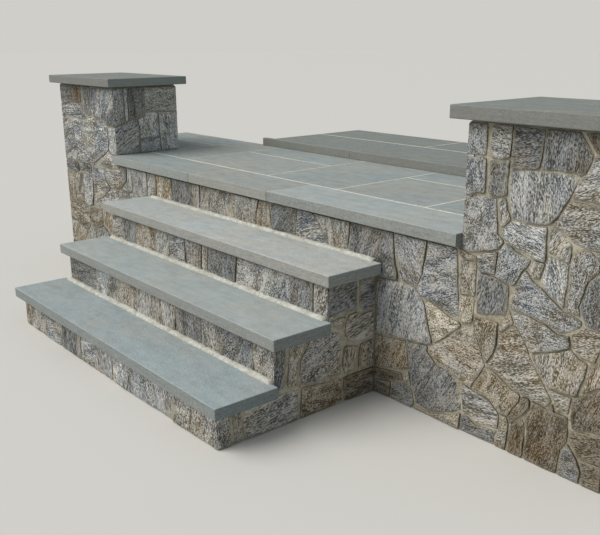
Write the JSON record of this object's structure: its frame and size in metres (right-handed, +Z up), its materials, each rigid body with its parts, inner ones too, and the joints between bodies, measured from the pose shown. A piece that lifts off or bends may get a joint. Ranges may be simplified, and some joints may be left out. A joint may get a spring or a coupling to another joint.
{
  "type": "outdoor stone steps",
  "caption": "Straight flight of stone treads up to a paved porch landing between two capped stone piers, with a low upper step at the door recess.",
  "frame": {"origin": "middle of the footprint, at ground level under the landing", "axes": "+X to the right along the treads, +Y up the flight towards the door, +Z up"},
  "size_m": [4.432, 2.711, 1.284],
  "materials": {
    "bluestone": "sawn, lightly textured",
    "stonework": "split natural stone, recessed joints",
    "mortar": "struck mortar",
    "fill": "hidden fill"
  },
  "bodies": {
    "root": {"door_wall": "stonework", "flight_core": "fill", "front_wall": "stonework", "landing_bed": "mortar", "landing_core": "fill", "landing_edge_left": "bluestone", "landing_edge_middle": "bluestone", "landing_edge_right": "bluestone", "landing_flags": "bluestone", "landing_side_edge_left": "bluestone", "landing_side_edge_right": "bluestone", "left_back_wall": "stonework", "left_pier": "stonework", "left_pier_cap": "bluestone", "left_recess_wall": "stonework", "left_return_1": "stonework", "left_return_2": "stonework", "left_return_3": "stonework", "left_side_wall": "stonework", "right_back_wall": "stonework", "right_pier": "stonework", "right_pier_cap": "bluestone", "right_recess_wall": "stonework", "right_return_1": "stonework", "right_return_2": "stonework", "right_return_3": "stonework", "right_side_wall": "stonework", "riser_1": "stonework", "riser_2": "stonework", "riser_3": "stonework", "tread_1": "bluestone", "tread_2": "bluestone", "tread_3": "bluestone", "tread_mortar": "mortar", "upper_bed": "mortar", "upper_core": "fill", "upper_edge_left": "bluestone", "upper_edge_right": "bluestone", "upper_flags": "bluestone"}
  },
  "joints": []
}
